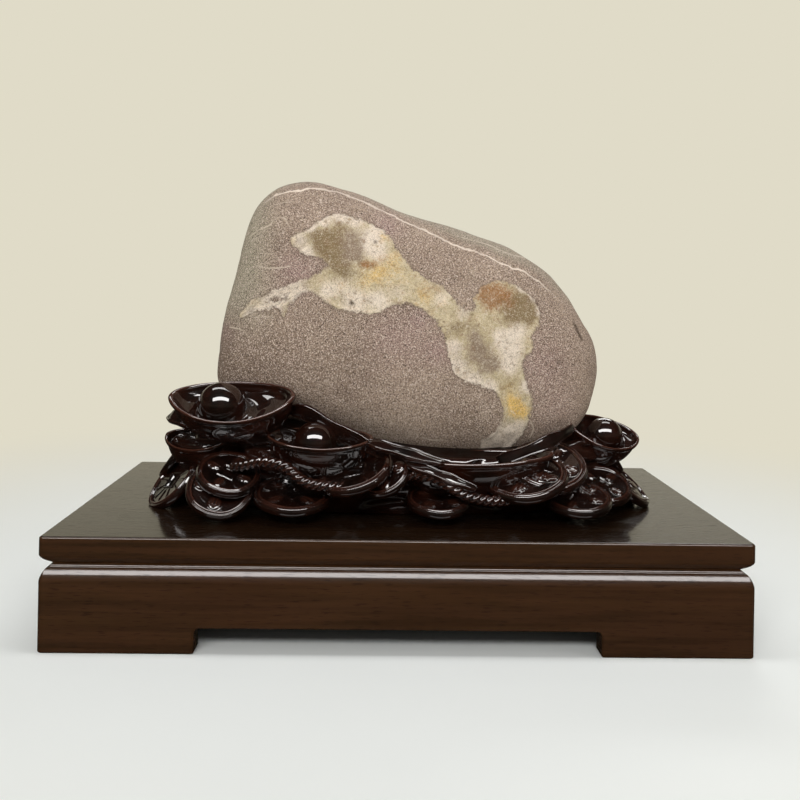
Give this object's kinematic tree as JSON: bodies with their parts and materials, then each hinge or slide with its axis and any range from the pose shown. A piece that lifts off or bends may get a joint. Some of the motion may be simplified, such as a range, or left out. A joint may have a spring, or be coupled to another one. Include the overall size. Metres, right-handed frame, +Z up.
{
  "type": "scholars rock on a carved stand",
  "caption": "Rounded purple-grey river stone with a pale branching vein, seated in a carved hardwood stand of coins and ingots on a footed two-tier plinth, for display.",
  "frame": {"origin": "centre of the plinth's footprint, on the surface it stands on", "axes": "+X along the plinth's length to the right of the marked face, +Y away from that face, +Z up"},
  "size_m": [0.38, 0.21, 0.2614],
  "materials": {
    "stone": "matt, water-worn, finely speckled, with a paler mineral vein",
    "carving": "high-gloss dark lacquer over carved hardwood",
    "plinth": "satin dark brown lacquer with straight grain"
  },
  "bodies": {
    "root": {"stone": "stone", "carved_stand": "carving", "top_board": "plinth", "waist_front": "plinth", "waist_back": "plinth", "waist_left": "plinth", "waist_right": "plinth", "apron_front": "plinth", "apron_back": "plinth", "apron_left": "plinth", "apron_right": "plinth"}
  },
  "joints": []
}
